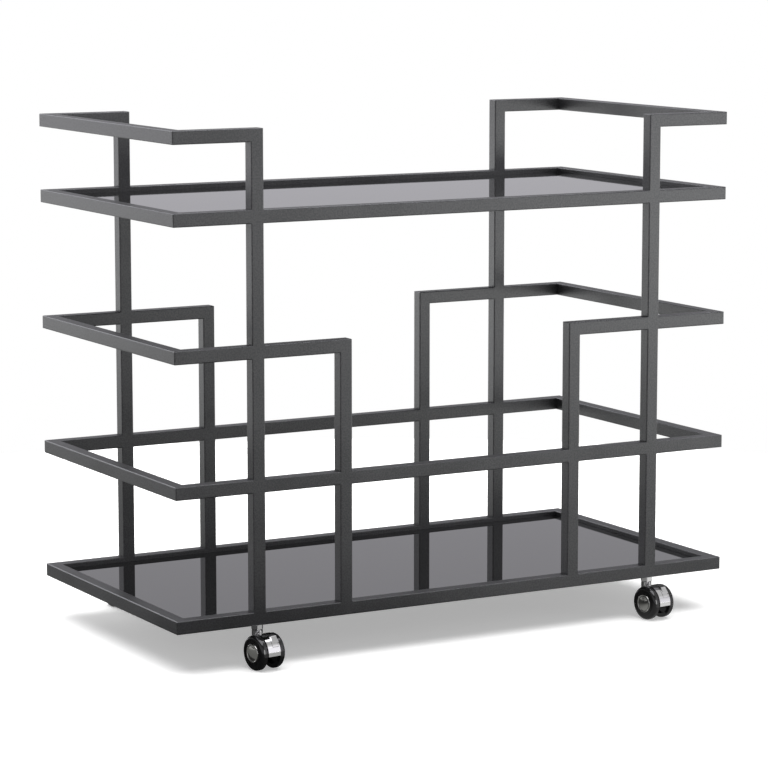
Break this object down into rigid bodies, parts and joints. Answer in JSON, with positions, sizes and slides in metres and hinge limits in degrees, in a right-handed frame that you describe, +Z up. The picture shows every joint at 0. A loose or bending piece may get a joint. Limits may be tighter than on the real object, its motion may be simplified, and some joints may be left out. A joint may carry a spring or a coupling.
{
  "type": "bar cart",
  "caption": "Rectangular square-tube bar cart with recessed glass shelves, stepped end guards, raised end handles and swivelling twin-wheel casters.",
  "frame": {"origin": "on the floor at the middle of the cart", "axes": "+X along the cart's length to the right, +Y to the rear, +Z up"},
  "size_m": [0.914, 0.5256, 0.756],
  "materials": {
    "frame": "satin gunmetal powder coat",
    "glass": "polished black smoked glass",
    "chrome": "bright chrome plate",
    "cap": "dark polished chrome",
    "steel": "zinc plated",
    "wheel": "glossy moulded nylon",
    "bumper": "clear soft bumper"
  },
  "bodies": {
    "frame": {"bottom_front_rail": "frame", "bottom_rear_rail": "frame", "lower_front_rail": "frame", "lower_rear_rail": "frame", "shelf_front_rail": "frame", "shelf_rear_rail": "frame", "bottom_left_rail": "frame", "bottom_right_rail": "frame", "lower_left_rail": "frame", "lower_right_rail": "frame", "shelf_left_rail": "frame", "shelf_right_rail": "frame", "left_guard_rail": "frame", "right_guard_rail": "frame", "left_handle": "frame", "right_handle": "frame", "front_left_tall_post": "frame", "front_left_short_post": "frame", "front_right_tall_post": "frame", "front_right_short_post": "frame", "rear_left_tall_post": "frame", "rear_left_short_post": "frame", "rear_right_tall_post": "frame", "rear_right_short_post": "frame", "lower_glass": "glass", "upper_glass": "glass", "glass_tabs": "frame", "glass_bumpers": "bumper", "caster_weld_nuts": "steel", "caster_stems": "chrome", "stem_clips": "steel"},
    "front_left_caster": {"front_left_housing": "chrome", "front_left_axle": "steel", "front_left_lever_pin": "steel"},
    "front_left_outer_wheel_set": {"front_left_outer_wheel": "wheel", "front_left_outer_cap": "cap"},
    "front_left_inner_wheel_set": {"front_left_inner_wheel": "wheel", "front_left_inner_cap": "cap"},
    "front_left_lever_set": {"front_left_brake_lever": "chrome"},
    "front_right_caster": {"front_right_housing": "chrome", "front_right_axle": "steel", "front_right_lever_pin": "steel"},
    "front_right_outer_wheel_set": {"front_right_outer_wheel": "wheel", "front_right_outer_cap": "cap"},
    "front_right_inner_wheel_set": {"front_right_inner_wheel": "wheel", "front_right_inner_cap": "cap"},
    "front_right_lever_set": {"front_right_brake_lever": "chrome"},
    "rear_left_caster": {"rear_left_housing": "chrome", "rear_left_axle": "steel"},
    "rear_left_outer_wheel_set": {"rear_left_outer_wheel": "wheel", "rear_left_outer_cap": "cap"},
    "rear_left_inner_wheel_set": {"rear_left_inner_wheel": "wheel", "rear_left_inner_cap": "cap"},
    "rear_right_caster": {"rear_right_housing": "chrome", "rear_right_axle": "steel"},
    "rear_right_outer_wheel_set": {"rear_right_outer_wheel": "wheel", "rear_right_outer_cap": "cap"},
    "rear_right_inner_wheel_set": {"rear_right_inner_wheel": "wheel", "rear_right_inner_cap": "cap"}
  },
  "joints": [
    {"name": "front_left_swivel", "type": "hinge", "parent": "frame", "child": "front_left_caster", "pos_m": [-0.3285, -0.219, 0.045], "axis": [0, 0, 1], "continuous": true},
    {"name": "front_left_outer_spin", "type": "hinge", "parent": "front_left_caster", "child": "front_left_outer_wheel_set", "pos_m": [-0.34099, -0.23792, 0.025], "axis": [0.9903, 0.1392, 0], "continuous": true},
    {"name": "front_left_inner_spin", "type": "hinge", "parent": "front_left_caster", "child": "front_left_inner_wheel_set", "pos_m": [-0.31128, -0.23375, 0.025], "axis": [0.9903, 0.1392, 0], "continuous": true},
    {"name": "front_left_brake", "type": "hinge", "parent": "front_left_caster", "child": "front_left_lever_set", "pos_m": [-0.32326, -0.2563, 0.03553], "axis": [0.9903, 0.1392, 0], "range_deg": [0, 12]},
    {"name": "front_right_swivel", "type": "hinge", "parent": "frame", "child": "front_right_caster", "pos_m": [0.3285, -0.219, 0.045], "axis": [0, 0, 1], "continuous": true},
    {"name": "front_right_outer_spin", "type": "hinge", "parent": "front_right_caster", "child": "front_right_outer_wheel_set", "pos_m": [0.34572, -0.23375, 0.025], "axis": [0.9903, 0.1392, 0], "continuous": true},
    {"name": "front_right_inner_spin", "type": "hinge", "parent": "front_right_caster", "child": "front_right_inner_wheel_set", "pos_m": [0.31601, -0.23792, 0.025], "axis": [0.9903, 0.1392, 0], "continuous": true},
    {"name": "front_right_brake", "type": "hinge", "parent": "front_right_caster", "child": "front_right_lever_set", "pos_m": [0.33374, -0.2563, 0.03553], "axis": [0.9903, 0.1392, 0], "range_deg": [0, 12]},
    {"name": "rear_left_swivel", "type": "hinge", "parent": "frame", "child": "rear_left_caster", "pos_m": [-0.3285, 0.219, 0.045], "axis": [0, 0, 1], "continuous": true},
    {"name": "rear_left_outer_spin", "type": "hinge", "parent": "rear_left_caster", "child": "rear_left_outer_wheel_set", "pos_m": [-0.34572, 0.23375, 0.025], "axis": [-0.9903, -0.1392, 0], "continuous": true},
    {"name": "rear_left_inner_spin", "type": "hinge", "parent": "rear_left_caster", "child": "rear_left_inner_wheel_set", "pos_m": [-0.31601, 0.23792, 0.025], "axis": [-0.9903, -0.1392, 0], "continuous": true},
    {"name": "rear_right_swivel", "type": "hinge", "parent": "frame", "child": "rear_right_caster", "pos_m": [0.3285, 0.219, 0.045], "axis": [0, 0, 1], "continuous": true},
    {"name": "rear_right_outer_spin", "type": "hinge", "parent": "rear_right_caster", "child": "rear_right_outer_wheel_set", "pos_m": [0.34099, 0.23792, 0.025], "axis": [-0.9903, -0.1392, 0], "continuous": true},
    {"name": "rear_right_inner_spin", "type": "hinge", "parent": "rear_right_caster", "child": "rear_right_inner_wheel_set", "pos_m": [0.31128, 0.23375, 0.025], "axis": [-0.9903, -0.1392, 0], "continuous": true}
  ]
}
